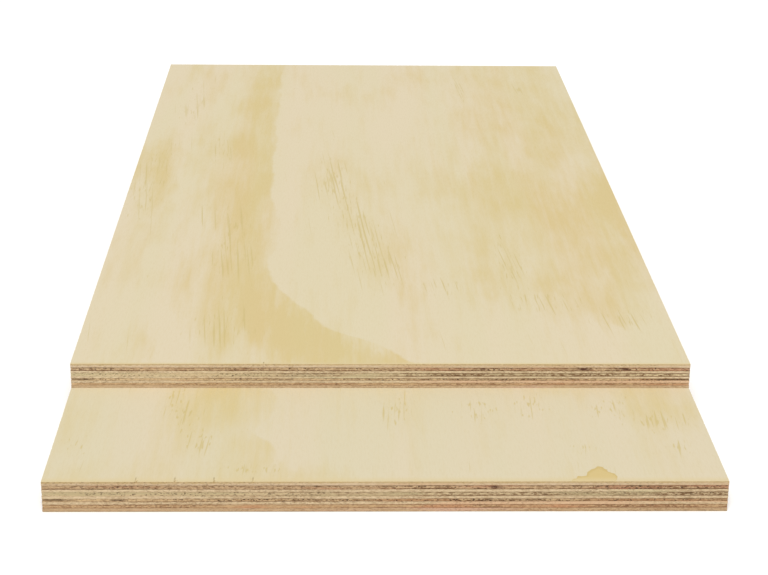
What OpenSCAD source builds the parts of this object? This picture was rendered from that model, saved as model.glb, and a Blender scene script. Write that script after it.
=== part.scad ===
// Two pine plywood panels lying flat, the upper one set back from the lower one's front edge.
// Each panel is a stack of nine veneers, and each veneer is a solid of its own.
// Millimetres. X runs across the panels, +Y towards the back, +Z up.
// The origin is on the floor, at the middle of the stack's outline.

/* [Stack] */
// Width of both sheets, across the face grain
sheet_width = 500; // [200:5:1250]
// Length of both sheets, along the face grain
sheet_length = 1000; // [600:5:2500]
// Distance that the upper sheet is set back from the lower sheet's front edge
setback = 170; // [0:5:300]

/* [Lower sheet veneers, from the top] */
// Face veneer, grain along the sheet
lower_face_veneer_t = 3.1; // [1:0.1:4]
// First crossband
lower_cross_ply_1_t = 3.1; // [1:0.1:4]
// First long ply
lower_long_ply_1_t = 2.1; // [1:0.1:4]
// Second crossband
lower_cross_ply_2_t = 3.2; // [1:0.1:4]
// Centre ply, grain along the sheet
lower_centre_ply_t = 2.2; // [1:0.1:4]
// Third crossband
lower_cross_ply_3_t = 2.3; // [1:0.1:4]
// Second long ply
lower_long_ply_2_t = 2.4; // [1:0.1:4]
// Fourth crossband
lower_cross_ply_4_t = 2.9; // [1:0.1:4]
// Back veneer, grain along the sheet
lower_back_veneer_t = 2.7; // [1:0.1:4]

/* [Upper sheet veneers, from the top] */
// Face veneer, grain along the sheet
upper_face_veneer_t = 3.2; // [1:0.1:4]
// First crossband
upper_cross_ply_1_t = 2.9; // [1:0.1:4]
// First long ply
upper_long_ply_1_t = 1.9; // [1:0.1:4]
// Second crossband
upper_cross_ply_2_t = 3.0; // [1:0.1:4]
// Centre ply, grain along the sheet
upper_centre_ply_t = 1.6; // [1:0.1:4]
// Third crossband
upper_cross_ply_3_t = 1.9; // [1:0.1:4]
// Second long ply
upper_long_ply_2_t = 2.0; // [1:0.1:4]
// Fourth crossband
upper_cross_ply_4_t = 2.1; // [1:0.1:4]
// Back veneer, grain along the sheet
upper_back_veneer_t = 2.4; // [1:0.1:4]

/* [Hidden] */
// Veneer heights in the order in which they are laid, from the bottom up
lower_layup = [
    lower_back_veneer_t, lower_cross_ply_4_t, lower_long_ply_2_t, lower_cross_ply_3_t, lower_centre_ply_t,
    lower_cross_ply_2_t, lower_long_ply_1_t, lower_cross_ply_1_t, lower_face_veneer_t
];
upper_layup = [
    upper_back_veneer_t, upper_cross_ply_4_t, upper_long_ply_2_t, upper_cross_ply_3_t, upper_centre_ply_t,
    upper_cross_ply_2_t, upper_long_ply_1_t, upper_cross_ply_1_t, upper_face_veneer_t
];
ply_names = [
    "back_veneer", "cross_ply_4", "long_ply_2", "cross_ply_3", "centre_ply",
    "cross_ply_2", "long_ply_1", "cross_ply_1", "face_veneer"
];
// Place of each veneer in a layup, counted from the bottom
back = 0;
cross_4 = 1;
long_2 = 2;
cross_3 = 3;
centre = 4;
cross_2 = 5;
long_1 = 6;
cross_1 = 7;
face = 8;

// Height of everything laid below veneer number i of a sheet
function height_below(layup, i) = i == 0 ? 0 : layup[i - 1] + height_below(layup, i - 1);

lower_sheet_t = height_below(lower_layup, len(lower_layup));
stack_length = sheet_length + setback;
lower_front_y = -stack_length / 2;
upper_front_y = lower_front_y + setback;

face_colour = [0.89, 0.82, 0.68];
long_ply_colour = [0.81, 0.70, 0.56];
cross_ply_colour = [0.62, 0.49, 0.37];
back_colour = [0.78, 0.65, 0.53];

// One veneer: a flat slab over the whole sheet, at its place in the layup
module veneer(layup, i, front_y, bottom_z) {
    translate([-sheet_width / 2, front_y, bottom_z + height_below(layup, i)])
        cube([sheet_width, sheet_length, layup[i]]);
}

module lower_veneer(i) {
    veneer(lower_layup, i, lower_front_y, 0);
}

module upper_veneer(i) {
    veneer(upper_layup, i, upper_front_y, lower_sheet_t);
}

module lower_back_veneer() { color(back_colour) lower_veneer(back); }
module lower_cross_ply_4() { color(cross_ply_colour) lower_veneer(cross_4); }
module lower_long_ply_2() { color(long_ply_colour) lower_veneer(long_2); }
module lower_cross_ply_3() { color(cross_ply_colour) lower_veneer(cross_3); }
module lower_centre_ply() { color(long_ply_colour) lower_veneer(centre); }
module lower_cross_ply_2() { color(cross_ply_colour) lower_veneer(cross_2); }
module lower_long_ply_1() { color(long_ply_colour) lower_veneer(long_1); }
module lower_cross_ply_1() { color(cross_ply_colour) lower_veneer(cross_1); }
module lower_face_veneer() { color(face_colour) lower_veneer(face); }

module upper_back_veneer() { color(back_colour) upper_veneer(back); }
module upper_cross_ply_4() { color(cross_ply_colour) upper_veneer(cross_4); }
module upper_long_ply_2() { color(long_ply_colour) upper_veneer(long_2); }
module upper_cross_ply_3() { color(cross_ply_colour) upper_veneer(cross_3); }
module upper_centre_ply() { color(long_ply_colour) upper_veneer(centre); }
module upper_cross_ply_2() { color(cross_ply_colour) upper_veneer(cross_2); }
module upper_long_ply_1() { color(long_ply_colour) upper_veneer(long_1); }
module upper_cross_ply_1() { color(cross_ply_colour) upper_veneer(cross_1); }
module upper_face_veneer() { color(face_colour) upper_veneer(face); }

lower_back_veneer();
lower_cross_ply_4();
lower_long_ply_2();
lower_cross_ply_3();
lower_centre_ply();
lower_cross_ply_2();
lower_long_ply_1();
lower_cross_ply_1();
lower_face_veneer();
upper_back_veneer();
upper_cross_ply_4();
upper_long_ply_2();
upper_cross_ply_3();
upper_centre_ply();
upper_cross_ply_2();
upper_long_ply_1();
upper_cross_ply_1();
upper_face_veneer();
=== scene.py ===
import math

import bpy
import numpy as np
from mathutils import Matrix, Vector


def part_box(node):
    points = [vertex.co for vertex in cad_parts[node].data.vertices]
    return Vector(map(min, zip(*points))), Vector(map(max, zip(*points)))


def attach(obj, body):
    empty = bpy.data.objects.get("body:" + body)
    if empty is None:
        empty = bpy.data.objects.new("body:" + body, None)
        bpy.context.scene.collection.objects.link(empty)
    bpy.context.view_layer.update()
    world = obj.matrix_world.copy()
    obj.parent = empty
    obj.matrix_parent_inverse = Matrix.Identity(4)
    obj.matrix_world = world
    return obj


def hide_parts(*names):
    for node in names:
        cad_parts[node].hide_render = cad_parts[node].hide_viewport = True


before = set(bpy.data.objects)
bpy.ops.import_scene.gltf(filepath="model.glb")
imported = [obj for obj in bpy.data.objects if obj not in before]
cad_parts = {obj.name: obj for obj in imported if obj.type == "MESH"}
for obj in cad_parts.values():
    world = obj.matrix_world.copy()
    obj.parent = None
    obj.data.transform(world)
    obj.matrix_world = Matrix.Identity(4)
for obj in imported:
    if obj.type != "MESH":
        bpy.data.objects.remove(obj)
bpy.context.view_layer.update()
scene = bpy.context.scene
print("frame loaded:", len(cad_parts), "veneers")


# node helpers, for shader trees and geometry trees alike
def plug(tree, socket, value):
    if isinstance(value, bpy.types.NodeSocket):
        tree.links.new(value, socket)
    else:
        socket.default_value = value


def addNode(tree, kind, inputs=None, **settings):
    node = tree.nodes.new(kind)
    for name, value in settings.items():
        setattr(node, name, value)
    for name, value in (inputs or {}).items():
        plug(tree, node.inputs[name], value)
    return node


def calc(tree, operation, *values, clamp=False):
    node = addNode(tree, "ShaderNodeMath", operation=operation, use_clamp=clamp)
    for socket, value in zip(node.inputs, values):
        plug(tree, socket, value)
    return node.outputs[0]


def plus(tree, first, second):
    return calc(tree, "ADD", first, second)


def minus(tree, first, second, clamp=False):
    return calc(tree, "SUBTRACT", first, second, clamp=clamp)


def times(tree, first, second, clamp=False):
    return calc(tree, "MULTIPLY", first, second, clamp=clamp)


def smooth(tree, value, low, high, start=0.0, end=1.0):
    # eases from start at low to end at high, and stays level outside
    inputs = {"Value": value, "From Min": low, "From Max": high, "To Min": start, "To Max": end}
    return addNode(tree, "ShaderNodeMapRange", inputs, interpolation_type="SMOOTHSTEP").outputs[0]


def splitAxes(tree, vector):
    return addNode(tree, "ShaderNodeSeparateXYZ", {0: vector}).outputs


def joinAxes(tree, x, y, z=0.0):
    return addNode(tree, "ShaderNodeCombineXYZ", {0: x, 1: y, 2: z}).outputs[0]


def mixTone(tree, factor, under, over):
    return addNode(tree, "ShaderNodeMix", {0: factor, 6: under, 7: over}, data_type="RGBA").outputs[2]


def tone(red, green, blue):
    # a colour given as 0 to 255 paint numbers, turned into the light values that the shader works in
    parts = [value / 255 for value in (red, green, blue)]
    return tuple(v / 12.92 if v <= 0.04045 else ((v + 0.055) / 1.055) ** 2.4 for v in parts) + (1.0,)


# camera, floor and light
view = {
    "place": (-0.0385, -1.8265, 0.6385),
    "down": 20.49,  # degrees below level
    "turn": -1.61,  # degrees, looking slightly to the right
    "roll": 0.66,
    "lens": 89.07,  # on this width of film, both in millimetres
    "film": 36.0,
    "nearest": 0.05,
    "furthest": 60.0,
}
studio = {
    "floorSize": 30.0,
    "floorDrop": 0.0004,
    "floorTone": (250, 250, 249),
    "floorRoughness": 0.85,
    "ambient": 0.46,
    "keyFrom": (-0.4, -6.0, 8.2),  # in front, high up, a little to the left
    "keySpread": 34.0,  # degrees; the wider, the softer
    "keyPower": 2.84,
}


def placeCamera():
    camera = bpy.data.objects.new("camera", bpy.data.cameras.new("camera"))
    camera.data.lens = view["lens"]
    camera.data.sensor_width = view["film"]
    camera.data.clip_start = view["nearest"]
    camera.data.clip_end = view["furthest"]
    aim = Matrix.Rotation(math.radians(view["turn"]), 4, "Z")
    aim @= Matrix.Rotation(math.radians(90 - view["down"]), 4, "X")
    aim @= Matrix.Rotation(math.radians(view["roll"]), 4, "Z")
    camera.matrix_world = Matrix.Translation(view["place"]) @ aim
    scene.collection.objects.link(camera)
    scene.camera = camera


def layFloor():
    half = studio["floorSize"] / 2
    drop = -studio["floorDrop"]
    mesh = bpy.data.meshes.new("floor")
    corners = [(-half, -half, drop), (half, -half, drop), (half, half, drop), (-half, half, drop)]
    mesh.from_pydata(corners, [], [(0, 1, 2, 3)])
    floor = bpy.data.objects.new("floor", mesh)
    scene.collection.objects.link(floor)
    paint = bpy.data.materials.new("floorPaint")
    paint.use_nodes = True
    shader = paint.node_tree.nodes["Principled BSDF"]
    shader.inputs["Base Color"].default_value = tone(*studio["floorTone"])
    shader.inputs["Roughness"].default_value = studio["floorRoughness"]
    mesh.materials.append(paint)


def hangLights():
    # one broad key light, so far off that the whole floor gets the same
    key = bpy.data.lights.new("key", "SUN")
    key.angle = math.radians(studio["keySpread"])
    key.energy = studio["keyPower"]
    holder = bpy.data.objects.new("key", key)
    holder.location = studio["keyFrom"]
    holder.rotation_euler = (-Vector(studio["keyFrom"])).to_track_quat("-Z", "Y").to_euler()
    scene.collection.objects.link(holder)
    world = bpy.data.worlds.new("studioAir")
    world.use_nodes = True
    air = world.node_tree.nodes["Background"]
    air.inputs["Color"].default_value = (1.0, 1.0, 1.0, 1.0)
    air.inputs["Strength"].default_value = studio["ambient"]
    scene.world = world
    scene.view_settings.view_transform = "Standard"


placeCamera()
layFloor()
hangLights()
print("camera, floor and light placed")


# the shape of one veneer, as a geometry node tree
veneerCut = {
    "rim": 0.008,  # width of the worked strip round each face
    "rimEase": 3.0,  # the higher, the closer the strip's rows lie to the saw cut
    "frontCuts": 999,  # points along the front edge, less one
    "sideCuts": 599,
    "backCuts": 499,
    "edgeRows": 7,  # points up the sawn edge
    "shownRows": 3,  # points across the strip of a face that shows
    "hiddenRows": 1,
    "edgeDepth": 0.0002,  # what lies nearer to the saw cut belongs to the sawn edge
    "waveLength": 0.055,  # of the uneven glue lines
    "waveNoise": (4.0, 0.55),  # detail and roughness
    "tornNoise": (4.0, 0.6),
    "tornSpan": (0.38, 0.78),  # where in the noise torn fibre begins, and where it is deepest
    "gapDepth": 0.009,  # of the core gaps
    "gapHeight": (0.16, 0.06),  # half height at the lips and inside, as shares of the veneer
    "gapTaper": 0.6,  # share of its length at which a gap is fully open
    "leastGap": 0.0001,  # a shorter gap isn't cut
    "frontReach": 0.0001,  # what lies nearer to the front edge than this belongs to it
    "arrisReach": 0.0026,  # how far from the arris chips and nicks fade out
    "chipWaves": 240.0,  # to the metre
    "chipNoise": (3.0, 0.6),
    "chipSpan": (0.52, 0.74),
    "nickSpan": (0.0009, 0.0001),  # half width of a nick at its lips and inside
    "nickSlack": 0.002,  # before the first nick and after the last
    "faceTilt": 0.8,  # a face looks up or down more than this
    "crispAngle": 0.7,  # radians; sharper corners stay crisp
    "mergeReach": 0.00001,
}
veneerSockets = {
    "Float": [
        "Width", "Length", "Centre Y", "Bottom", "Thickness", "Rim", "Merge Reach", "Wave Length",
        "Lower Wave", "Upper Wave", "Lower Line", "Upper Line", "Recess", "Saw Relief", "Fibre X", "Fibre Y",
        "Fibre Z", "Seed", "Left Gap", "Right Gap", "Gap Depth", "Chip Depth", "Nick Depth", "Nick From",
        "Nick To", "Nick Pitch",
    ],
    "Int": ["Front Cuts", "Side Cuts", "Back Cuts", "Edge Rows", "Top Rows", "Bottom Rows"],
    "Material": ["Edge Material", "Top Material", "Bottom Material"],
}


def noise(tree, vector, seed, detail, roughness):
    inputs = {"Vector": vector, "W": seed, "Scale": 1.0, "Detail": detail, "Roughness": roughness}
    return addNode(tree, "ShaderNodeTexNoise", inputs, noise_dimensions="4D").outputs[0]


def sameNumber(tree, first, second):
    inputs = {2: first, 3: second}
    return addNode(tree, "FunctionNodeCompare", inputs, data_type="INT", operation="EQUAL").outputs[0]


def pickNumber(tree, flag, off, on):
    return addNode(tree, "GeometryNodeSwitch", {0: flag, 1: off, 2: on}, input_type="INT").outputs[0]


def drawOutline(tree, given):
    # the sheet from above, with its own spacing of points on the front, side and back edges
    inputs = {"Width": given["Width"], "Height": given["Length"]}
    outline = addNode(tree, "GeometryNodeCurvePrimitiveQuadrilateral", inputs).outputs[0]
    side = addNode(tree, "GeometryNodeInputIndex").outputs[0]
    cuts = pickNumber(tree, sameNumber(tree, side, 2), given["Side Cuts"], given["Front Cuts"])
    cuts = pickNumber(tree, sameNumber(tree, side, 0), cuts, given["Back Cuts"])
    outline = addNode(tree, "GeometryNodeSubdivideCurve", {"Curve": outline, "Cuts": cuts}).outputs[0]
    size = addNode(tree, "GeometryNodeAttributeDomainSize", {0: outline}, component="CURVE")
    return outline, size.outputs["Point Count"]


def rollGrid(tree, given):
    # a grid with a column for each point of the outline and a row for each point of the section, and where
    # each of its points stands: its row, and its place on the outline
    outline, count = drawOutline(tree, given)
    rows = plus(tree, given["Top Rows"], plus(tree, given["Edge Rows"], given["Bottom Rows"]))
    lastRow = minus(tree, rows, 1.0)
    columns = plus(tree, count, 1.0)
    inputs = {"Size X": count, "Size Y": lastRow, "Vertices X": columns, "Vertices Y": rows}
    grid = addNode(tree, "GeometryNodeMeshGrid", inputs).outputs[0]
    x, y = splitAxes(tree, addNode(tree, "GeometryNodeInputPosition").outputs[0])[:2]
    column = calc(tree, "ROUND", plus(tree, x, times(tree, count, 0.5)))
    column = calc(tree, "MODULO", column, count)
    row = calc(tree, "ROUND", plus(tree, y, times(tree, lastRow, 0.5)))
    onPath = addNode(tree, "GeometryNodeSampleIndex", {"Geometry": outline, "Index": column},
                     data_type="FLOAT_VECTOR", domain="POINT")
    plug(tree, onPath.inputs["Value"], addNode(tree, "GeometryNodeInputPosition").outputs[0])
    pathX, pathY = splitAxes(tree, onPath.outputs[0])[:2]
    return grid, row, pathX, pathY


def readSection(tree, given, row):
    # height up the sawn edge, and how far across the face's strip, both from 0 to 1
    edgeSpan = minus(tree, given["Edge Rows"], 1.0)
    fromTop = minus(tree, row, given["Top Rows"])
    height = minus(tree, 1.0, calc(tree, "DIVIDE", fromTop, edgeSpan), clamp=True)
    above = calc(tree, "MAXIMUM", times(tree, fromTop, -1.0), 0.0)
    below = calc(tree, "MAXIMUM", minus(tree, fromTop, edgeSpan), 0.0)
    inward = calc(tree, "MAXIMUM", calc(tree, "DIVIDE", above, given["Top Rows"]),
                  calc(tree, "DIVIDE", below, given["Bottom Rows"]))
    return height, calc(tree, "POWER", inward, veneerCut["rimEase"])


def waveGlueLines(tree, given, pathX, pathY, height, inward):
    # neighbouring veneers read the same line number, so their uneven glue lines meet all the way round
    run = joinAxes(tree, pathX, plus(tree, pathY, given["Centre Y"]))
    inputs = {0: run, 3: calc(tree, "DIVIDE", 1.0, given["Wave Length"])}
    run = addNode(tree, "ShaderNodeVectorMath", inputs, operation="SCALE").outputs[0]

    def glueLine(side):
        swing = minus(tree, noise(tree, run, given[side + " Line"], *veneerCut["waveNoise"]), 0.5)
        return times(tree, swing, times(tree, given[side + " Wave"], 2.0))

    lower = glueLine("Lower")
    rest = minus(tree, glueLine("Upper"), lower)
    wave = plus(tree, lower, times(tree, rest, height))
    return times(tree, wave, minus(tree, 1.0, inward))


def tearFibre(tree, given, pathX, pathY, level, inset):
    # marks of the saw and torn fibre, cut into the edge only
    fibre = joinAxes(tree, times(tree, pathX, given["Fibre X"]), times(tree, pathY, given["Fibre Y"]),
                     times(tree, level, given["Fibre Z"]))
    torn = noise(tree, fibre, given["Seed"], *veneerCut["tornNoise"])
    torn = smooth(tree, torn, *veneerCut["tornSpan"])
    cut = plus(tree, given["Recess"], times(tree, torn, given["Saw Relief"]))
    return times(tree, cut, calc(tree, "LESS_THAN", inset, veneerCut["edgeDepth"]))


def openGaps(tree, given, pathX, halfWidth, height, atFront):
    # core gaps run in from the front corners at mid height
    fromMiddle = calc(tree, "ABSOLUTE", minus(tree, height, 0.5))
    midHeight = smooth(tree, fromMiddle, *veneerCut["gapHeight"])

    def gapFrom(side, fromCorner):
        fullyOpen = times(tree, given[side], veneerCut["gapTaper"])
        isCut = calc(tree, "GREATER_THAN", given[side], veneerCut["leastGap"])
        return times(tree, smooth(tree, fromCorner, given[side], fullyOpen), isCut)

    left = gapFrom("Left Gap", plus(tree, pathX, halfWidth))
    right = gapFrom("Right Gap", minus(tree, halfWidth, pathX))
    gap = times(tree, calc(tree, "MAXIMUM", left, right), midHeight)
    return times(tree, gap, times(tree, atFront, given["Gap Depth"]))


def wearArris(tree, given, pathX, pathY, height, inset, atFront):
    # chips along the top arris, and nicks at a regular pitch along the front one
    below = times(tree, minus(tree, 1.0, height), given["Thickness"])
    near = smooth(tree, plus(tree, inset, below), veneerCut["arrisReach"], 0.0)
    near = times(tree, near, near)
    waves = veneerCut["chipWaves"]
    along = joinAxes(tree, times(tree, pathX, waves), times(tree, pathY, waves))
    chip = noise(tree, along, given["Seed"], *veneerCut["chipNoise"])
    chip = smooth(tree, chip, *veneerCut["chipSpan"])
    chip = times(tree, chip, times(tree, near, given["Chip Depth"]))
    halfPitch = times(tree, given["Nick Pitch"], 0.5)
    toNick = plus(tree, minus(tree, pathX, given["Nick From"]), halfPitch)
    toNick = minus(tree, calc(tree, "FLOORED_MODULO", toNick, given["Nick Pitch"]), halfPitch)
    nick = smooth(tree, calc(tree, "ABSOLUTE", toNick), *veneerCut["nickSpan"])
    first = minus(tree, given["Nick From"], veneerCut["nickSlack"])
    last = plus(tree, given["Nick To"], veneerCut["nickSlack"])
    nick = times(tree, nick, calc(tree, "GREATER_THAN", pathX, first))
    nick = times(tree, nick, calc(tree, "LESS_THAN", pathX, last))
    nick = times(tree, nick, times(tree, atFront, near))
    return plus(tree, chip, times(tree, nick, given["Nick Depth"]))


def storeHeight(tree, shape, height):
    # how high up in its veneer each point lies, for the finishes to read
    inputs = {"Geometry": shape, "Name": "layerHeight", "Value": height}
    kind = "GeometryNodeStoreNamedAttribute"
    return addNode(tree, kind, inputs, data_type="FLOAT", domain="POINT").outputs[0]


def mergePoints(tree, given, shape):
    inputs = {"Geometry": shape, "Distance": given["Merge Reach"]}
    return addNode(tree, "GeometryNodeMergeByDistance", inputs).outputs[0]


def buildBand(tree, given):
    # the sawn edge with a strip of both faces: a ring further in is the outline drawn smaller
    grid, row, pathX, pathY = rollGrid(tree, given)
    height, inward = readSection(tree, given, row)
    halfWidth = times(tree, given["Width"], 0.5)
    halfLength = times(tree, given["Length"], 0.5)
    inset = times(tree, inward, given["Rim"])
    level = plus(tree, times(tree, height, given["Thickness"]), given["Bottom"])
    front = minus(tree, veneerCut["frontReach"], halfLength)
    atFront = calc(tree, "LESS_THAN", pathY, front)
    wave = waveGlueLines(tree, given, pathX, pathY, height, inward)
    cut = tearFibre(tree, given, pathX, pathY, level, inset)
    gap = openGaps(tree, given, pathX, halfWidth, height, atFront)
    bite = wearArris(tree, given, pathX, pathY, height, inset, atFront)
    inTotal = plus(tree, plus(tree, inset, cut), plus(tree, gap, bite))
    shrinkX = minus(tree, 1.0, calc(tree, "DIVIDE", inTotal, halfWidth))
    shrinkY = minus(tree, 1.0, calc(tree, "DIVIDE", inTotal, halfLength))
    newX = times(tree, pathX, shrinkX)
    newY = plus(tree, times(tree, pathY, shrinkY), given["Centre Y"])
    newZ = minus(tree, plus(tree, level, wave), bite)
    inputs = {"Geometry": storeHeight(tree, grid, height), "Position": joinAxes(tree, newX, newY, newZ)}
    band = addNode(tree, "GeometryNodeSetPosition", inputs).outputs[0]
    return addNode(tree, "GeometryNodeFlipFaces", {"Mesh": mergePoints(tree, given, band)}).outputs[0]


def fillFace(tree, band, onRim, level, height, faceUp):
    # fills one open rim of the band, and lifts the flat fill to the level of that face
    loop = addNode(tree, "GeometryNodeMeshToCurve", {"Mesh": band, "Selection": onRim}).outputs[0]
    face = addNode(tree, "GeometryNodeFillCurve", {"Curve": loop}, mode="NGONS").outputs[0]
    inputs = {"Geometry": face, "Offset": joinAxes(tree, 0.0, 0.0, level)}
    face = addNode(tree, "GeometryNodeSetPosition", inputs).outputs[0]
    if not faceUp:
        face = addNode(tree, "GeometryNodeFlipFaces", {"Mesh": face}).outputs[0]
    return storeHeight(tree, face, height)


def closeVeneer(tree, given, band):
    middle = plus(tree, given["Bottom"], times(tree, given["Thickness"], 0.5))
    top = plus(tree, given["Bottom"], given["Thickness"])
    isRim = sameNumber(tree, addNode(tree, "GeometryNodeInputMeshEdgeNeighbors").outputs[0], 1)
    joined = addNode(tree, "GeometryNodeJoinGeometry")
    faces = (("LESS_THAN", given["Bottom"], 0.0, False), ("GREATER_THAN", top, 1.0, True))
    for where, level, height, faceUp in faces:
        z = splitAxes(tree, addNode(tree, "GeometryNodeInputPosition").outputs[0])[2]
        inputs = {0: isRim, 1: calc(tree, where, z, middle)}
        onRim = addNode(tree, "FunctionNodeBooleanMath", inputs, operation="AND").outputs[0]
        tree.links.new(fillFace(tree, band, onRim, level, height, faceUp), joined.inputs[0])
    tree.links.new(band, joined.inputs[0])
    return mergePoints(tree, given, joined.outputs[0])


def dressVeneer(tree, given, whole):
    # smooth sawn edge, crisp arrises, and a finish for each side
    inputs = {"Geometry": whole, "Shade Smooth": True}
    whole = addNode(tree, "GeometryNodeSetShadeSmooth", inputs, domain="FACE").outputs[0]
    angle = addNode(tree, "GeometryNodeInputMeshEdgeAngle").outputs["Unsigned Angle"]
    isCrisp = calc(tree, "GREATER_THAN", angle, veneerCut["crispAngle"])
    inputs = {"Geometry": whole, "Selection": isCrisp, "Shade Smooth": False}
    whole = addNode(tree, "GeometryNodeSetShadeSmooth", inputs, domain="EDGE").outputs[0]
    whole = addNode(tree, "GeometryNodeRealizeInstances", {"Geometry": whole}).outputs[0]
    facing = splitAxes(tree, addNode(tree, "GeometryNodeInputNormal").outputs[0])[2]
    looksUp = calc(tree, "GREATER_THAN", facing, veneerCut["faceTilt"])
    looksDown = calc(tree, "LESS_THAN", facing, -veneerCut["faceTilt"])
    for side, chosen in (("Edge", True), ("Top", looksUp), ("Bottom", looksDown)):
        inputs = {"Geometry": whole, "Selection": chosen, "Material": given[side + " Material"]}
        whole = addNode(tree, "GeometryNodeSetMaterial", inputs).outputs[0]
    return whole


def buildVeneerTree():
    tree = bpy.data.node_groups.new("veneerCut", "GeometryNodeTree")
    for way in ("INPUT", "OUTPUT"):
        tree.interface.new_socket(name="Geometry", in_out=way, socket_type="NodeSocketGeometry")
    for kind, names in veneerSockets.items():
        for name in names:
            tree.interface.new_socket(name=name, in_out="INPUT", socket_type="NodeSocket" + kind)
    given = addNode(tree, "NodeGroupInput").outputs
    whole = closeVeneer(tree, given, buildBand(tree, given))
    addNode(tree, "NodeGroupOutput", {"Geometry": dressVeneer(tree, given, whole)})
    return tree


# where each part of a veneer lies on its own bake map, from 0 to 1 both ways
bakeMap = {
    "margin": 0.006,
    "strips": 12,  # the sawn edge lies in this many strips, one above the other
    "stripGap": 0.12,  # left free at both sides of a strip, as a share of it
    "overshoot": 0.1,  # how far a wavy glue line may reach into that gap
    "edgeTop": 0.94,  # top of all the strips
    "edgeTopUnderFace": 0.34,  # the same where a face shows and needs most of the map
    "shownFace": (0.36, 0.93),  # foot and top
    "hiddenFace": (0.955, 0.99),
    "hiddenLeft": {"top": 0.02, "bottom": 0.52},
    "hiddenWidth": 0.46,
}


def readMesh(mesh):
    # the points, the point of each corner, and each polygon's first corner, number of corners and normal
    points = np.empty(len(mesh.vertices) * 3, np.float32)
    mesh.vertices.foreach_get("co", points)
    corner = np.empty(len(mesh.loops), np.int32)
    mesh.loops.foreach_get("vertex_index", corner)
    first = np.empty(len(mesh.polygons), np.int32)
    mesh.polygons.foreach_get("loop_start", first)
    total = np.empty(len(mesh.polygons), np.int32)
    mesh.polygons.foreach_get("loop_total", total)
    normal = np.empty(len(mesh.polygons) * 3, np.float32)
    mesh.polygons.foreach_get("normal", normal)
    return points.reshape(-1, 3).astype(float), corner, first, total, normal.reshape(-1, 3)


def walkRound(points, low, high):
    # distance round the outline from the front left corner
    centre = (low + high) / 2
    half = (high - low) / 2
    width, length = 2 * half[0], 2 * half[1]
    across = (points[:, 0] - centre[0]) / half[0]
    lengthways = (points[:, 1] - centre[1]) / half[1]
    reach = np.maximum(np.maximum(np.abs(across), np.abs(lengthways)), 1e-6)
    sideways = across / reach
    deep = lengthways / reach
    onRight = width + (deep + 1) / 2 * length
    onLeft = 2 * width + length + (1 - deep) / 2 * length
    onFront = (sideways + 1) / 2 * width
    onBack = width + length + (1 - sideways) / 2 * width
    onSides = np.where(across > 0, onRight, onLeft)
    onEnds = np.where(lengthways < 0, onFront, onBack)
    return np.where(np.abs(across) > np.abs(lengthways), onSides, onEnds)


def layBakeMap(mesh, low, high, showsTop, showsBottom):
    # the sawn edge lies in long strips, and a face that shows gets most of the rest
    points, corner, first, total, normal = readMesh(mesh)
    polygon = np.repeat(np.arange(len(first)), total)
    facing = np.repeat(normal[:, 2], total)
    width, length, thickness = high - low
    acrossSheet, alongSheet, rise = ((points[corner] - low) / (width, length, thickness)).T
    perimeter = 2 * (width + length)
    walk = walkRound(points, low, high)[corner]
    start = np.minimum.reduceat(walk, first)[polygon]
    walk = np.where(walk - start > perimeter / 2, walk - perimeter, walk)
    middle = (np.add.reduceat(walk, first) / total)[polygon]
    strips = bakeMap["strips"]
    strip = np.clip(np.floor(middle / perimeter * strips), 0, strips - 1)
    margin = bakeMap["margin"]
    u = margin + (1 - 2 * margin) * (walk / perimeter * strips - strip)
    rise = np.clip(rise, -bakeMap["overshoot"], 1 + bakeMap["overshoot"])
    edgeTop = bakeMap["edgeTopUnderFace"] if showsTop or showsBottom else bakeMap["edgeTop"]
    v = (strip + bakeMap["stripGap"] + (1 - 2 * bakeMap["stripGap"]) * rise) / strips * edgeTop
    tilt = veneerCut["faceTilt"]
    for side, mine, shows in (("top", facing > tilt, showsTop), ("bottom", facing < -tilt, showsBottom)):
        if shows:
            left, right = margin, 1 - margin
            foot, top = bakeMap["shownFace"]
        else:
            left = bakeMap["hiddenLeft"][side]
            right = left + bakeMap["hiddenWidth"]
            foot, top = bakeMap["hiddenFace"]
        u = np.where(mine, left + (right - left) * alongSheet, u)
        v = np.where(mine, foot + (top - foot) * acrossSheet, v)
    layer = mesh.uv_layers.new(name="OFBake", do_init=False)
    spots = np.clip(np.stack([u, v], 1), 0, 1).astype(np.float32)
    layer.uv.foreach_set("vector", spots.ravel())


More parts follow.
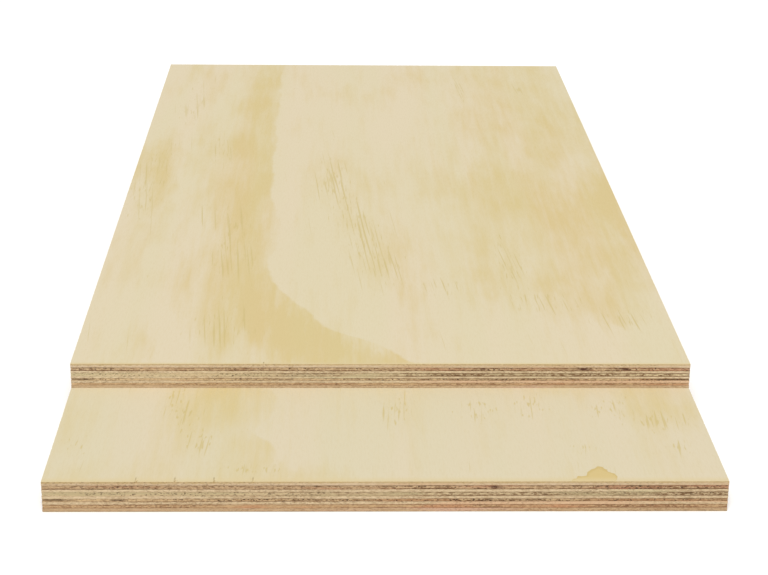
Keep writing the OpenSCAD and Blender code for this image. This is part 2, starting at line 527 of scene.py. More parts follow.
def sawVeneer(tree, name, low, high, sizes, finishes, showsTop, showsBottom):
    # runs the tree once for this veneer and keeps the result as a plain mesh
    carrier = bpy.data.objects.new(name + "Carrier", bpy.data.meshes.new(name + "Carrier"))
    scene.collection.objects.link(carrier)
    modifier = carrier.modifiers.new("veneerCut", "NODES")
    modifier.node_group = tree
    shownRows, hiddenRows = veneerCut["shownRows"], veneerCut["hiddenRows"]
    values = {
        "Width": high.x - low.x, "Length": high.y - low.y, "Centre Y": (low.y + high.y) / 2,
        "Bottom": low.z, "Thickness": high.z - low.z, "Rim": veneerCut["rim"],
        "Front Cuts": veneerCut["frontCuts"], "Side Cuts": veneerCut["sideCuts"],
        "Back Cuts": veneerCut["backCuts"], "Edge Rows": veneerCut["edgeRows"],
        "Top Rows": shownRows if showsTop else hiddenRows,
        "Bottom Rows": shownRows if showsBottom else hiddenRows,
        "Wave Length": veneerCut["waveLength"], "Gap Depth": veneerCut["gapDepth"],
        "Merge Reach": veneerCut["mergeReach"], **sizes, **finishes,
    }
    for socket in tree.interface.items_tree:
        if socket.in_out == "INPUT" and socket.name in values:
            modifier[socket.identifier] = values[socket.name]
    graph = bpy.context.evaluated_depsgraph_get()
    mesh = bpy.data.meshes.new_from_object(carrier.evaluated_get(graph), preserve_all_data_layers=True,
                                           depsgraph=graph)
    bpy.data.objects.remove(carrier)
    mesh.name = name
    slots = np.empty(len(mesh.polygons), np.int32)
    mesh.polygons.foreach_get("material_index", slots)
    if mesh.materials[0] is None:  # an empty slot that the joined parts bring
        mesh.materials.pop(index=0)
        mesh.polygons.foreach_set("material_index", slots - 1)
    layBakeMap(mesh, np.array(low), np.array(high), showsTop, showsBottom)
    piece = bpy.data.objects.new(name, mesh)
    scene.collection.objects.link(piece)
    return piece


# what every wood finish is drawn with: noise and soft ovals
woodSpecular = 0.28  # bare wood shines less than varnish
ovalCore = 0.15  # share of an oval that has its full depth
ovalReach = 1.4  # where it has faded out, in half sizes from its middle


def newFinish(name):
    finish = bpy.data.materials.new(name)
    finish.use_nodes = True
    tree = finish.node_tree
    shader = tree.nodes["Principled BSDF"]
    shader.inputs["Specular IOR Level"].default_value = woodSpecular
    place = addNode(tree, "ShaderNodeTexCoord").outputs["Object"]
    return finish, tree, shader, place


def grain(tree, place, look, seed=0.0):
    # noise with so many waves to the metre across the sheet, along it and upright
    shift = seed + look["seed"]
    inputs = {0: place, 1: look["waves"], 2: (shift, shift, shift)}
    spot = addNode(tree, "ShaderNodeVectorMath", inputs, operation="MULTIPLY_ADD").outputs[0]
    inputs = {"Vector": spot, "Scale": 1.0, "Detail": look["detail"], "Roughness": look["rough"]}
    dimensions = "3D" if look["waves"][2] else "2D"
    return addNode(tree, "ShaderNodeTexNoise", inputs, noise_dimensions=dimensions).outputs[0]


def swing(tree, place, look, seed):
    # the same noise, to both sides of nothing
    return minus(tree, grain(tree, place, look, seed), 0.5)


def drawOut(tree, place, look, seed, start=0.0, end=1.0):
    # the same noise, with its span stretched from start to end
    return smooth(tree, grain(tree, place, look, seed), *look["span"], start, end)


def softOval(tree, point, oval, reach):
    # full depth in the core of an oval, nothing outside it: (middle, middle, half size, half size, depth)
    centreA, centreB, halfA, halfB, depth = oval
    inputs = {0: point, 1: (1 / halfA, 1 / halfB, 0.0), 2: (-centreA / halfA, -centreB / halfB, 0.0)}
    away = addNode(tree, "ShaderNodeVectorMath", inputs, operation="MULTIPLY_ADD").outputs[0]
    away = addNode(tree, "ShaderNodeVectorMath", {0: away}, operation="LENGTH").outputs["Value"]
    return smooth(tree, away, reach, ovalCore, 0.0, depth)


def ovals(tree, point, listed, reach=ovalReach):
    total = softOval(tree, point, listed[0], reach)
    for oval in listed[1:]:
        total = plus(tree, total, softOval(tree, point, oval, reach))
    return total


def weighted(tree, *pairs):
    # adds up value times weight
    total = 0.0
    for value, weight in pairs:
        total = calc(tree, "MULTIPLY_ADD", value, weight, total)
    return total


def addBump(tree, shader, height, look):
    inputs = {"Strength": look["bumpStrength"], "Distance": look["bumpDepth"], "Height": height}
    plug(tree, shader.inputs["Normal"], addNode(tree, "ShaderNodeBump", inputs).outputs[0])


# the sawn edges
sawnGrain = {
    "rings": {"waves": (9, 9, 620), "seed": 0.0, "detail": 2.0, "rough": 0.5, "span": (0.36, 0.64)},
    "dashes": {"waves": (230, 230, 760), "seed": 2.7, "detail": 3.0, "rough": 0.78, "span": (0.41, 0.61)},
    "drift": {"waves": (13, 13, 60), "seed": 5.1, "detail": 2.0, "rough": 0.5},
    "patches": {"waves": (12, 12, 180), "seed": 9.3, "detail": 3.0, "rough": 0.6},
    "marks": {"waves": (480, 480, 1150), "seed": 13.0, "detail": 1.0, "rough": 0.6, "span": (0.55, 0.65)},
    # noise that breaks up the darker line under the top arris
    "underArris": {"waves": (70, 70, 90), "seed": 15.0, "detail": 3.0, "rough": 0.7, "span": (0.35, 0.65)},
    "fibre": {"seed": 21.0, "detail": 2.0, "rough": 0.6},  # its waves are the wood's own
}
sawnLook = {
    "driftSpan": (0.3, 0.7, 0.75, 1.25),  # the drift, and how strong the figure is there
    "rightSpan": (-0.2, 0.2),  # across the sheet, where a ply darkens
    "glueAndShadeRagged": (0.16, 0.5),  # how much dashes and drift fray the rim of the glue and painted shade
    "glueAndShadeStart": 1.25,  # towards a glue line; a wood with a larger share of glue and shade is darkened further from it
    "glueAndShadeFull": 1.42,
    "glueAndShadeEase": 0.6,
    "patchEase": 0.14,
    "knotAndGapSpan": (0.7, 1.3),  # how strong knots and painted gap shade are between the dashes and on them
    "topRagged": (0.10, 0.3),
    "topSpan": (0.70, 0.90),  # up the veneer
    "topLeast": 0.55,  # how strong the darker line is at least
    "markSpan": (0.38, 0.62),  # of the drift, from scarce marks to thick ones
    "markLeast": 0.35,
    "roughness": (0.62, 0.82),
    "bumpStrength": 0.6,
    "bumpDepth": 0.0003,
}


def sawnFigure(tree, place, x, height, dashes, drift, wood):
    # growth rings lie nearly flat in a peeled veneer, so they show on the saw cut as thin level lines
    rings = drawOut(tree, place, sawnGrain["rings"], wood["seed"])
    # glue darkens the wood on both sides of each glue line, with painted shade where the plies meet
    fromMiddle = times(tree, calc(tree, "ABSOLUTE", minus(tree, height, 0.5)), 2.0)
    byDashes, byDrift = sawnLook["glueAndShadeRagged"]
    ragged = weighted(tree, (fromMiddle, 1.0), (dashes, byDashes), (drift, byDrift))
    start = sawnLook["glueAndShadeStart"] - wood["glueAndShadeShare"]
    full = sawnLook["glueAndShadeFull"] - wood["glueAndShadeShare"] * sawnLook["glueAndShadeEase"]
    glueAndShade = smooth(tree, ragged, start, full)
    depth = weighted(tree, (rings, wood["ringDepth"]), (dashes, wood["dashDepth"]),
                     (glueAndShade, wood["glueAndShadeDepth"]))
    depth = times(tree, depth, smooth(tree, drift, *sawnLook["driftSpan"]))
    # the cross plies grow darker towards the right-hand end
    trend = smooth(tree, x, *sawnLook["rightSpan"], 1.0 - wood["rightDepth"], 1.0 + wood["rightDepth"])
    return times(tree, depth, trend, clamp=True)


def tintedStretches(tree, place, x, wood):
    # stretches of reddish or greenish wood
    patch = grain(tree, place, sawnGrain["patches"], wood["seed"])
    patch = calc(tree, "MULTIPLY_ADD", x, wood["patchLean"], patch)
    patchFull = wood["patchFrom"] + sawnLook["patchEase"]
    return smooth(tree, patch, wood["patchFrom"], patchFull, 0.0, wood["patchDepth"])


def paintKnotsAndGapShade(tree, x, z, dashes, wood):
    # dark knots, and painted shade in the gaps where core strips don't meet
    knotAndGap = ovals(tree, joinAxes(tree, x, z), wood["knotsAndGapShade"])
    return times(tree, knotAndGap, smooth(tree, dashes, 0.0, 1.0, *sawnLook["knotAndGapSpan"]), clamp=True)


def darkenUnderArris(tree, place, height, dashes, drift, wood):
    # the edge is painted darker under the top arris, in a ragged line
    byDashes, byDrift = sawnLook["topRagged"]
    ragged = weighted(tree, (height, 1.0), (dashes, byDashes), (drift, byDrift))
    broken = drawOut(tree, place, sawnGrain["underArris"], wood["seed"], sawnLook["topLeast"])
    return times(tree, smooth(tree, ragged, *sawnLook["topSpan"]), broken)


def tornMarks(tree, place, drift, wood):
    # torn pores and short dark marks, thick in some stretches and scarce in others
    marks = drawOut(tree, place, sawnGrain["marks"], wood["seed"])
    least = wood["markDepth"] * sawnLook["markLeast"]
    strength = smooth(tree, drift, *sawnLook["markSpan"], least, wood["markDepth"])
    return times(tree, marks, strength)


def edgeFinish(name, wood, paintedLightGain):
    finish, tree, shader, place = newFinish(name)
    x, _, z = splitAxes(tree, place)
    height = addNode(tree, "ShaderNodeAttribute", attribute_name="layerHeight").outputs["Fac"]
    dashes = drawOut(tree, place, sawnGrain["dashes"], wood["seed"])
    drift = grain(tree, place, sawnGrain["drift"], wood["seed"])

    # a wood's tone times the sheet's painted light gain: painted light that makes the upper sheet's edges
    # paler
    def withPaintedLight(paint):
        return tuple(value * more for value, more in zip(tone(*wood[paint]), (*paintedLightGain, 1.0)))

    figure = sawnFigure(tree, place, x, height, dashes, drift, wood)
    colour = mixTone(tree, figure, withPaintedLight("pale"), withPaintedLight("dark"))
    colour = mixTone(tree, tintedStretches(tree, place, x, wood), colour, withPaintedLight("patch"))
    # knots, and painted shade in the core gaps
    if "knotsAndGapShade" in wood:
        colour = mixTone(tree, paintKnotsAndGapShade(tree, x, z, dashes, wood), colour, withPaintedLight("knotAndGapTone"))
    if "topTone" in wood:
        # the edge painted darker in a ragged line under the top arris
        underArris = darkenUnderArris(tree, place, height, dashes, drift, wood)
        colour = mixTone(tree, underArris, colour, withPaintedLight("topTone"))
    colour = mixTone(tree, tornMarks(tree, place, drift, wood), colour, withPaintedLight("mark"))
    plug(tree, shader.inputs["Base Color"], colour)
    plug(tree, shader.inputs["Roughness"], smooth(tree, dashes, 0.0, 1.0, *sawnLook["roughness"]))
    fibre = grain(tree, place, {**sawnGrain["fibre"], "waves": wood["fibre"]}, wood["seed"])
    addBump(tree, shader, fibre, sawnLook)
    return finish


# faces inside the sheets: veneer under a thin film of dried glue
driedGlue = {
    "film": {"waves": (9, 5, 0), "seed": 3.0, "detail": 2.0, "rough": 0.5},
    "thinTone": (168, 138, 102),
    "thickTone": (180, 150, 112),
    "roughness": (0.55, 0.7),
}


def gluedFinish():
    finish, tree, shader, place = newFinish("gluedFace")
    film = grain(tree, place, driedGlue["film"])
    colour = mixTone(tree, film, tone(*driedGlue["thinTone"]), tone(*driedGlue["thickTone"]))
    plug(tree, shader.inputs["Base Color"], colour)
    plug(tree, shader.inputs["Roughness"], smooth(tree, film, 0.0, 1.0, *driedGlue["roughness"]))
    return finish


# the sanded faces
faceGrain = {
    "sway": {"waves": (13, 6, 0), "seed": 0.0, "detail": 3.0, "rough": 0.5},
    "lick": {"waves": (70, 12, 0), "seed": 3.0, "detail": 3.0, "rough": 0.6},
    "waver": {"waves": (6, 28, 0), "seed": 5.0, "detail": 3.0, "rough": 0.6},
    "clouds": {"waves": (26, 6, 0), "seed": 7.0, "detail": 5.0, "rough": 0.62},
    "wisps": {"waves": (150, 9, 0), "seed": 9.0, "detail": 3.0, "rough": 0.65},
    "bands": {"waves": (20, 1.6, 0), "seed": 11.0, "detail": 2.0, "rough": 0.5, "span": (0.32, 0.68)},
    "fibre": {"waves": (760, 110, 0), "seed": 13.0, "detail": 2.0, "rough": 0.6},
    "wobble": {"waves": (90, 70, 0), "seed": 17.0, "detail": 2.0, "rough": 0.5},
}
faceLook = {
    "lineShift": 0.5,  # a curve holds 0 to 1, so the line is drawn this far to the right
    "lineWaver": 0.012,
    "lineSpan": (0.004, 0.009),  # metres left of the line, from sapwood to full heartwood
    "warmthSpan": (-0.15, 1.15, -0.05, 1.05),  # evens out the extremes
    "fibreSpan": (0.42, 0.8, 0.0, 0.14),  # the last two are depths
    "streakReach": 1.15,
    "stainReach": 1.1,
    "stainWobble": (0.010, 0.014),
    "stainSpan": (0.30, 0.38, 0.0, 0.9),
    "rimOutside": (0.28, 0.36),
    "rimInside": (0.62, 0.36),
    "rimDepth": 0.4,
    "nickLean": 0.05,  # a nick narrows by this much of the way back
    "nickRagged": 0.0005,
    "nickSpan": (0.0013, 0.0005),  # half width at its rim and in its core
    "nickTaper": 0.6,
    "nickSlack": 0.25,  # of the pitch
    "nickShade": 0.85,
    "arrisSpan": (0.0008, 0.0, 0.7),  # how far back the warmer tone is full, and its depth
    "roughness": 0.46,
    "fibreRoughness": 0.3,
    "streakRoughness": -0.12,
    "heartRoughness": -0.04,
    "bumpStrength": 0.3,
    "bumpDepth": 0.00015,
}


def leftOfLine(tree, place, x, y, figure, length):
    # heartwood on the left stops at one clear line
    curve = addNode(tree, "ShaderNodeFloatCurve", {"Value": calc(tree, "DIVIDE", y, length)})
    points = curve.mapping.curves[0].points
    for number, (back, across) in enumerate(figure["heartLine"]):
        spot = (back / length, across + faceLook["lineShift"])
        if number < 2:
            points[number].location = spot
        else:
            points.new(*spot)
    curve.mapping.update()
    waver = grain(tree, place, faceGrain["waver"], figure["seed"])
    line = calc(tree, "MULTIPLY_ADD", waver, faceLook["lineWaver"], curve.outputs[0])
    start, full = (faceLook["lineShift"] + away for away in faceLook["lineSpan"])
    return smooth(tree, minus(tree, line, x), start, full)


def findWarmth(tree, place, x, y, figure, length):
    # flame-like figure: broad bends across the sheet, short tongues along it
    seed = figure["seed"]
    sway = swing(tree, place, faceGrain["sway"], seed)
    lick = swing(tree, place, faceGrain["lick"], seed)
    swayed = calc(tree, "MULTIPLY_ADD", sway, figure["sway"], x)
    licked = calc(tree, "MULTIPLY_ADD", lick, figure["lick"], y)
    warmth = ovals(tree, joinAxes(tree, swayed, licked), figure["openPatches"])
    if "heartLine" in figure:
        heart = ovals(tree, joinAxes(tree, x, licked), figure["heartPatches"])
        heart = times(tree, heart, leftOfLine(tree, place, x, y, figure, length))
        warmth = plus(tree, warmth, heart)
    # clouds and fine wisps of colour all over
    clouds = swing(tree, place, faceGrain["clouds"], seed)
    wisps = swing(tree, place, faceGrain["wisps"], seed)
    warmth = weighted(tree, (warmth, 1.0), (clouds, figure["cloud"]), (wisps, figure["wisps"]),
                      (figure["base"], 1.0))
    return smooth(tree, warmth, *faceLook["warmthSpan"])


def plainWood(tree, place, warmth, fibre, figure):
    # wide bands that turn a little pink or a little green, and fine fibre
    bands = drawOut(tree, place, faceGrain["bands"], figure["seed"])
    sapwood = mixTone(tree, bands, tone(*figure["sapPink"]), tone(*figure["sapGreen"]))
    heartwood = mixTone(tree, bands, tone(*figure["heartAmber"]), tone(*figure["heartOlive"]))
    colour = mixTone(tree, warmth, sapwood, heartwood)
    return mixTone(tree, smooth(tree, fibre, *faceLook["fibreSpan"]), colour, tone(*figure["fibreTone"]))


def streaks(tree, place, density, look):
    # thin resin streaks along the grain: the denser the zone, the more of them rise out of the noise
    x, y = splitAxes(tree, place)[:2]
    leaned = joinAxes(tree, calc(tree, "MULTIPLY_ADD", y, look["lean"], x), y)
    ridge = calc(tree, "MULTIPLY_ADD", density, look["reach"], grain(tree, leaned, look))
    return smooth(tree, ridge, *look["span"])


def findStreaks(tree, place, figure):
    density = ovals(tree, place, figure["streakZones"], faceLook["streakReach"])
    density = calc(tree, "MINIMUM", density, 1.0)
    longOnes = streaks(tree, place, density, figure["longStreaks"])
    shortOnes = streaks(tree, place, density, figure["shortStreaks"])
    return calc(tree, "MAXIMUM", longOnes, shortOnes)


def paintStains(tree, place, x, y, colour, figure):
    # a resin stain with a clear rim
    wobble = swing(tree, place, faceGrain["wobble"], figure["seed"])
    acrossShare, alongShare = faceLook["stainWobble"]
    wobbled = joinAxes(tree, calc(tree, "MULTIPLY_ADD", wobble, acrossShare, x),
                       calc(tree, "MULTIPLY_ADD", wobble, alongShare, y))
    stain = ovals(tree, wobbled, figure["stains"], faceLook["stainReach"])
    outside, inside = (smooth(tree, stain, *faceLook[side]) for side in ("rimOutside", "rimInside"))
    rim = times(tree, times(tree, outside, inside), faceLook["rimDepth"])
    colour = mixTone(tree, smooth(tree, stain, *faceLook["stainSpan"]), colour, tone(*figure["stainTone"]))
    return mixTone(tree, rim, colour, tone(*figure["stainRimTone"]))


def paintNicks(tree, x, y, fibre, colour, figure):
    # dark torn marks where the front arris is nicked, at a regular pitch: torn fibre, with painted shade in
    # the notch
    first, last, pitch, depth = figure["nicks"]
    along = calc(tree, "FLOORED_MODULO", plus(tree, x, pitch / 2 - first), pitch)
    off = calc(tree, "ABSOLUTE", minus(tree, along, pitch / 2))
    off = weighted(tree, (off, 1.0), (y, faceLook["nickLean"]), (fibre, faceLook["nickRagged"]))
    nick = smooth(tree, off, *faceLook["nickSpan"])
    nick = times(tree, nick, smooth(tree, y, depth, depth * faceLook["nickTaper"]))
    slack = pitch * faceLook["nickSlack"]
    nick = times(tree, nick, calc(tree, "GREATER_THAN", x, first - slack))
    nick = times(tree, nick, calc(tree, "LESS_THAN", x, last + slack))
    nick = times(tree, nick, faceLook["nickShade"])
    return mixTone(tree, nick, colour, tone(*figure["nickTone"]))


def faceFinish(name, figure, frontEdge, length):
    finish, tree, shader, place = newFinish(name)
    place = addNode(tree, "ShaderNodeVectorMath", {0: place, 1: (0.0, -frontEdge, 0.0)}).outputs[0]
    x, y = splitAxes(tree, place)[:2]  # y is now the distance back from the sheet's front edge
    warmth = findWarmth(tree, place, x, y, figure, length)
    fibre = grain(tree, place, faceGrain["fibre"], figure["seed"])
    marks = findStreaks(tree, place, figure)
    colour = plainWood(tree, place, warmth, fibre, figure)
    depth = times(tree, marks, figure["streakDepth"])
    colour = mixTone(tree, depth, colour, tone(*figure["streakTone"]))
    if "stains" in figure:
        colour = paintStains(tree, place, x, y, colour, figure)
    if "nicks" in figure:
        colour = paintNicks(tree, x, y, fibre, colour, figure)
    # a strip along the front arris is painted a warmer tone
    arris = smooth(tree, y, figure["arrisWidth"], *faceLook["arrisSpan"])
    plug(tree, shader.inputs["Base Color"], mixTone(tree, arris, colour, tone(*figure["arrisTone"])))
    roughness = weighted(tree, (fibre, faceLook["fibreRoughness"]), (marks, faceLook["streakRoughness"]),
                         (warmth, faceLook["heartRoughness"]), (1.0, faceLook["roughness"]))
    plug(tree, shader.inputs["Roughness"], roughness)
    addBump(tree, shader, fibre, faceLook)
    return finish


pine = {
    "sapPink": (214, 200, 170),
    "sapGreen": (212, 200, 167),
    "heartAmber": (207, 186, 134),
    "heartOlive": (206, 188, 136),
    "fibreTone": (196, 176, 130),
    "streakTone": (196, 177, 116),
    "streakDepth": 0.68,
    "stainTone": (205, 181, 120),
    "stainRimTone": (186, 160, 92),
    "arrisTone": (211, 192, 147),
    "nickTone": (132, 112, 66),
    "longStreaks": {
        "waves": (460, 7, 0), "seed": 31.0, "detail": 1.0, "rough": 0.5, "span": (0.80, 0.92),
        "lean": 0.07, "reach": 0.24,
    },
    "shortStreaks": {
        "waves": (560, 36, 0), "seed": 47.0, "detail": 1.0, "rough": 0.5, "span": (0.80, 0.92),
        "lean": 0.02, "reach": 0.19,
    },
}
upperFace = {
    **pine,
    "seed": 2.0,
    "sway": 0.10,
    "lick": 0.16,
    "cloud": 1.3,
    "wisps": 0.8,
    "base": 0.02,
    "arrisWidth": 0.004,
    # how far back, and how far across, in metres
    "heartLine": [
        (0.0, 0.028), (0.045, -0.004), (0.08, -0.045), (0.12, -0.060), (0.16, -0.080), (0.23, -0.097),
        (0.33, -0.089), (0.45, -0.101), (0.60, -0.103), (1.0, -0.104),
    ],
    # across, back, half width, half length, depth
    "heartPatches": [
        (-0.122, 0.55, 0.042, 0.62, 0.55), (-0.135, 0.50, 0.055, 0.22, 0.15),
        (-0.165, 0.62, 0.035, 0.16, 0.15), (-0.175, 0.42, 0.035, 0.08, 0.20),
        (-0.127, 0.88, 0.026, 0.15, 0.35), (-0.095, 0.14, 0.055, 0.10, 0.60),
        (-0.065, 0.07, 0.045, 0.06, 0.60), (-0.020, 0.00, 0.080, 0.06, 0.85),
        (-0.150, 0.18, 0.030, 0.12, 0.22), (-0.112, 0.26, 0.026, 0.10, 0.34),
        (-0.108, 0.56, 0.020, 0.10, 0.20),
    ],
    "openPatches": [
        (-0.225, 0.50, 0.035, 0.17, 0.42), (-0.195, 0.92, 0.035, 0.12, 0.28),
        (-0.210, 0.40, 0.022, 0.55, 0.32), (0.190, 0.58, 0.120, 0.50, 0.42),
        (0.120, 0.48, 0.060, 0.11, 0.35), (0.200, 0.35, 0.050, 0.13, 0.42),
        (0.245, 0.44, 0.035, 0.10, 0.40), (0.185, 0.92, 0.060, 0.12, 0.32),
        (0.195, 0.66, 0.040, 0.09, 0.22), (0.150, 0.185, 0.120, 0.05, 0.35),
        (0.075, 0.94, 0.060, 0.06, 0.32), (-0.020, 0.44, 0.040, 0.14, 0.38),
        (0.020, 0.27, 0.045, 0.14, 0.30), (-0.020, 0.85, 0.060, 0.08, 0.25),
        (0.045, 0.52, 0.050, 0.08, 0.22), (-0.215, 0.04, 0.040, 0.05, 0.25),
        (0.210, 0.12, 0.050, 0.04, 0.40), (0.110, 0.31, 0.045, 0.10, 0.22),
        (0.170, 0.25, 0.060, 0.06, 0.28),
    ],
    "streakZones": [
        (-0.040, 0.50, 0.030, 0.14, 1.0), (-0.020, 0.36, 0.030, 0.12, 0.9),
        (0.005, 0.25, 0.035, 0.12, 0.95), (-0.145, 0.40, 0.045, 0.10, 0.70),
        (-0.130, 0.27, 0.035, 0.12, 0.90), (-0.228, 0.50, 0.025, 0.20, 1.0),
        (-0.130, 0.08, 0.050, 0.08, 0.80), (0.122, 0.24, 0.022, 0.12, 0.90),
        (0.060, 0.18, 0.035, 0.035, 0.85), (0.150, 0.14, 0.050, 0.040, 0.90),
        (0.215, 0.10, 0.040, 0.040, 0.95), (-0.205, 0.80, 0.022, 0.16, 0.80),
        (0.115, 0.87, 0.010, 0.10, 0.90), (0.190, 0.87, 0.010, 0.05, 0.90),
        (-0.160, 0.62, 0.030, 0.14, 0.70),
    ],
    "nicks": (-0.095, -0.094, 0.04, 0.005),  # first, last, pitch, length
}
lowerFace = {
    **pine,
    "sapPink": (212, 199, 170),
    "sapGreen": (210, 199, 168),
    "heartAmber": (206, 188, 137),
    "seed": 5.0,
    "sway": 0.04,
    "lick": 0.06,
    "cloud": 1.1,
    "wisps": 0.7,
    "base": 0.04,
    "arrisWidth": 0.009,
    "heartLine": [
        (0.0, -0.110), (0.02, -0.090), (0.048, -0.080), (0.07, -0.090), (0.088, -0.098), (0.10, -0.092),
        (0.115, -0.086), (0.17, -0.085), (0.40, -0.090), (1.0, -0.10),
    ],
    "heartPatches": [
        (-0.115, 0.150, 0.045, 0.070, 0.56), (-0.155, 0.125, 0.026, 0.060, 0.35),
        (-0.098, 0.050, 0.035, 0.035, 0.45), (-0.125, 0.070, 0.050, 0.050, 0.12),
        (-0.120, 0.400, 0.050, 0.200, 0.60),
    ],
    "openPatches": [
        (-0.235, 0.080, 0.035, 0.070, 0.25), (0.210, 0.155, 0.050, 0.040, 0.35),
        (0.240, 0.120, 0.035, 0.035, 0.35), (0.195, 0.112, 0.025, 0.020, 0.25),
        (0.140, 0.172, 0.050, 0.024, 0.25), (-0.080, 0.005, 0.080, 0.028, 0.42),
        (0.010, 0.120, 0.030, 0.060, 0.18), (-0.215, 0.005, 0.070, 0.030, 0.28),
        (0.200, 0.450, 0.060, 0.200, 0.60),
    ],
    "streakZones": [
        (-0.155, 0.125, 0.020, 0.045, 1.0), (-0.140, 0.070, 0.022, 0.035, 1.0),
        (-0.165, 0.155, 0.010, 0.030, 1.0), (0.012, 0.125, 0.020, 0.045, 0.90),
        (0.075, 0.125, 0.025, 0.035, 0.90), (0.118, 0.135, 0.022, 0.035, 0.90),
        (0.215, 0.105, 0.035, 0.030, 0.95), (0.178, 0.130, 0.030, 0.025, 0.90),
        (-0.232, 0.065, 0.015, 0.030, 0.85), (-0.095, 0.020, 0.035, 0.020, 0.85),
        (0.155, 0.055, 0.020, 0.020, 0.80), (0.225, 0.060, 0.015, 0.020, 0.90),
    ],
    "longStreaks": {
        "waves": (420, 14, 0), "seed": 31.0, "detail": 1.0, "rough": 0.5, "span": (0.80, 0.92),
        "lean": -0.05, "reach": 0.23,
    },
    "shortStreaks": {
        "waves": (380, 75, 0), "seed": 47.0, "detail": 1.0, "rough": 0.5, "span": (0.80, 0.92),
        "lean": -0.05, "reach": 0.22,
    },
    "stains": [(0.157, 0.004, 0.014, 0.026, 1.0), (0.143, 0.0, 0.011, 0.011, 0.9)],
    "nicks": (-0.182, -0.097, 0.0283, 0.009),
}
backFace = {
    **pine,
    "seed": 8.0,
    "sway": 0.10,
    "lick": 0.16,
    "cloud": 1.3,
    "wisps": 0.8,
    "base": 0.15,
    "arrisWidth": 0.003,
    "openPatches": [
        (-0.10, 0.85, 0.06, 0.25, 0.6), (0.16, 0.30, 0.07, 0.30, 0.6), (-0.18, 0.25, 0.04, 0.2, 0.4),
    ],
    "streakZones": [
        (0.05, 0.70, 0.08, 0.25, 0.8), (-0.15, 0.92, 0.08, 0.12, 0.8), (0.10, 0.25, 0.10, 0.2, 0.7),
    ],
}


# the plies, from the floor up: the same veneers make both sheets
sawnEdge = {
    "ringDepth": 0.20,
    "dashDepth": 0.46,
    "glueAndShadeShare": 0.30,
    "glueAndShadeDepth": 0.30,
    "patchFrom": 0.54,
    "patchDepth": 0.7,
    "patchLean": 0.0,  # above 0 there is more of it towards the right-hand end
    "rightDepth": 0.05,
    "markDepth": 0.40,
    "mark": (98, 72, 48),
}
longEdge = {
    **sawnEdge,
    "pale": (198, 176, 141),
    "dark": (152, 126, 92),
    "patch": (184, 158, 126),
    "fibre": (900, 90, 1100),
    "fibreCut": (300, 60, 600),
    "recess": 0.0,
    "relief": 0.00012,
}
crossEdge = {
    **sawnEdge,
    "pale": (184, 156, 116),
    "dark": (106, 75, 46),
    "patch": (160, 122, 86),
    "dashDepth": 0.55,
    "glueAndShadeShare": 0.46,
    "glueAndShadeDepth": 0.70,
    "rightDepth": 0.22,
    "markDepth": 1.0,
    "mark": (64, 42, 26),
    "fibre": (90, 900, 1100),
    "fibreCut": (180, 240, 600),
    "recess": 0.00010,
    "relief": 0.00030,
}
backVeneer = {
    **longEdge, "seed": 1.0, "pale": (179, 152, 117), "dark": (150, 120, 86), "patch": (188, 152, 130),
}
crossPly4 = {
    **crossEdge, "seed": 11.0, "pale": (182, 151, 110), "dark": (130, 95, 64), "patch": (174, 124, 88),
    "patchLean": 0.3, "patchDepth": 0.6, "markDepth": 0.5, "mark": (84, 58, 38),
}
longPly2 = {**longEdge, "seed": 21.0, "patch": (194, 157, 123), "patchFrom": 0.45, "patchLean": 0.8}
crossPly3 = {
    **crossEdge, "seed": 31.0, "pale": (194, 166, 124), "dark": (112, 80, 50), "patch": (162, 122, 84),
    "patchLean": 0.3, "patchDepth": 0.6, "rightDepth": 0.40, "knotAndGapTone": (58, 34, 20),
    # painted shade in the gaps where the core strips don't meet: across, up, half width, half height, depth
    "knotsAndGapShade": [
        (0.234, 0.0314, 0.019, 0.0006, 1.2), (-0.241, 0.0315, 0.011, 0.0006, 1.0),
        (0.090, 0.0314, 0.034, 0.0005, 0.45), (-0.080, 0.0314, 0.014, 0.0005, 0.45),
        (-0.240, 0.0092, 0.014, 0.0009, 1.0), (-0.195, 0.0092, 0.006, 0.0008, 1.0),
        (-0.058, 0.0090, 0.014, 0.0005, 0.6), (0.085, 0.0090, 0.045, 0.0005, 0.45),
    ],
}
centrePly = {**longEdge, "seed": 41.0, "patch": (184, 168, 130)}
crossPly2 = {
    **crossEdge, "seed": 51.0, "pale": (187, 165, 127), "dark": (112, 84, 55), "patch": (166, 150, 112),
    "patchFrom": 0.50, "rightDepth": 0.95, "patchLean": -0.3, "markDepth": 0.8, "mark": (84, 66, 44),
}
longPly1 = {**longEdge, "seed": 61.0, "patch": (188, 173, 133)}
crossPly1 = {
    **crossEdge, "seed": 71.0, "pale": (184, 155, 117), "patch": (158, 110, 80), "patchFrom": 0.50,
    "rightDepth": 0.10, "patchLean": 0.25, "patchDepth": 0.6, "knotAndGapTone": (76, 46, 32),
    # knots only in this ply: across, up, half width, half height, depth
    "knotsAndGapShade": [
        (0.164, 0.0405, 0.006, 0.0012, 1.0), (0.197, 0.0405, 0.005, 0.0012, 0.9),
        (0.083, 0.0405, 0.003, 0.001, 0.7), (0.0795, 0.0195, 0.005, 0.0014, 0.9),
    ],
}
faceVeneer = {
    **longEdge, "seed": 81.0, "pale": (191, 168, 136), "dark": (168, 142, 106), "patch": (184, 154, 118),
    "patchLean": 0.5, "topTone": (170, 145, 100),
}
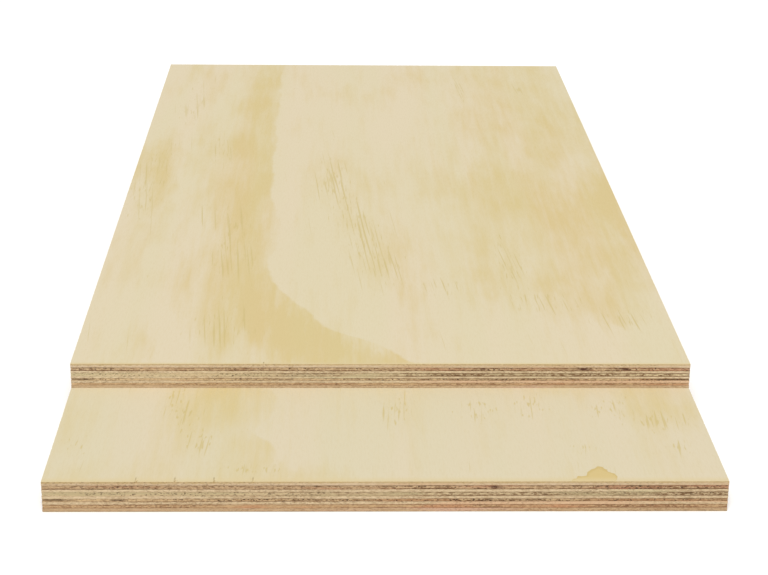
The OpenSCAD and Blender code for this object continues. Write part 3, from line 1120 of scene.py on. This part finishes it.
plies = [
    # node, piece, finish of the record, wood of the sawn edge
    ("back_veneer", "BackVeneer", "back_veneer", backVeneer),
    ("cross_ply_4", "CrossPly4", "cross_veneer", crossPly4),
    ("long_ply_2", "LongPly2", "long_veneer", longPly2),
    ("cross_ply_3", "CrossPly3", "cross_veneer", crossPly3),
    ("centre_ply", "CentrePly", "long_veneer", centrePly),
    ("cross_ply_2", "CrossPly2", "cross_veneer", crossPly2),
    ("long_ply_1", "LongPly1", "long_veneer", longPly1),
    ("cross_ply_1", "CrossPly1", "cross_veneer", crossPly1),
    ("face_veneer", "FaceVeneer", "face_veneer", faceVeneer),
]
glueLineWave = 0.0004
gappedPly = "cross_ply_3"  # the core strips of this one stop short of the front corners
sheets = [
    # the upper sheet's edges are painted paler than the same veneers in the lower sheet: painted light, as
    # they see wood below them instead of the white floor and get less bounce light
    {
        "sheet": "lower", "firstLine": 100.0, "face": lowerFace, "paintedEdgeLight": (1.0, 1.0, 1.0),
        "leftGap": 0.016, "rightGap": 0.0, "chip": 0.0005, "nickDepth": 0.0008,
    },
    {
        "sheet": "upper", "firstLine": 200.0, "face": upperFace, "paintedEdgeLight": (1.16, 1.22, 1.33),
        "leftGap": 0.0105, "rightGap": 0.031, "chip": 0.0005, "nickDepth": 0.0006,
    },
]


def veneerSizes(sheet, number, node, wood, isBack, isFace):
    nickFrom, nickTo, nickPitch, _ = sheet["face"]["nicks"]
    fibreX, fibreY, fibreZ = wood["fibreCut"]
    return {
        "Lower Wave": 0.0 if isBack else glueLineWave,
        "Upper Wave": 0.0 if isFace else glueLineWave,
        "Lower Line": sheet["firstLine"] + number,
        "Upper Line": sheet["firstLine"] + number + 1,
        "Recess": wood["recess"],
        "Saw Relief": wood["relief"],
        "Fibre X": fibreX,
        "Fibre Y": fibreY,
        "Fibre Z": fibreZ,
        "Seed": wood["seed"] + sheet["firstLine"],
        "Left Gap": sheet["leftGap"] if node == gappedPly else 0.0,
        "Right Gap": sheet["rightGap"] if node == gappedPly else 0.0,
        "Chip Depth": sheet["chip"] if isFace else 0.0,
        "Nick Depth": sheet["nickDepth"] if isFace else 0.0,
        "Nick From": nickFrom,
        "Nick To": nickTo,
        "Nick Pitch": nickPitch,
    }


def buildSheet(sheet, tree, glued):
    name = sheet["sheet"]
    for number, (node, piece, slot, wood) in enumerate(plies):
        low, high = (Vector(corner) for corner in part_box(name + "_" + node))
        isBack = number == 0
        isFace = number == len(plies) - 1
        top = faceFinish(name + "Face", sheet["face"], low.y, high.y - low.y) if isFace else glued
        bottom = faceFinish(name + "Back", backFace, low.y, high.y - low.y) if isBack else glued
        edge = edgeFinish(name + piece + "Edge", wood, sheet["paintedEdgeLight"])
        finishes = {"Edge Material": edge, "Top Material": top, "Bottom Material": bottom}
        sizes = veneerSizes(sheet, number, node, wood, isBack, isFace)
        veneer = sawVeneer(tree, name + piece, low, high, sizes, finishes, isFace, isBack)
        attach(veneer, "root")
        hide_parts(name + "_" + node)
    print(name, "sheet built:", len(plies), "veneers")


veneerTree = buildVeneerTree()
gluedFace = gluedFinish()
for sheet in sheets:
    buildSheet(sheet, veneerTree, gluedFace)
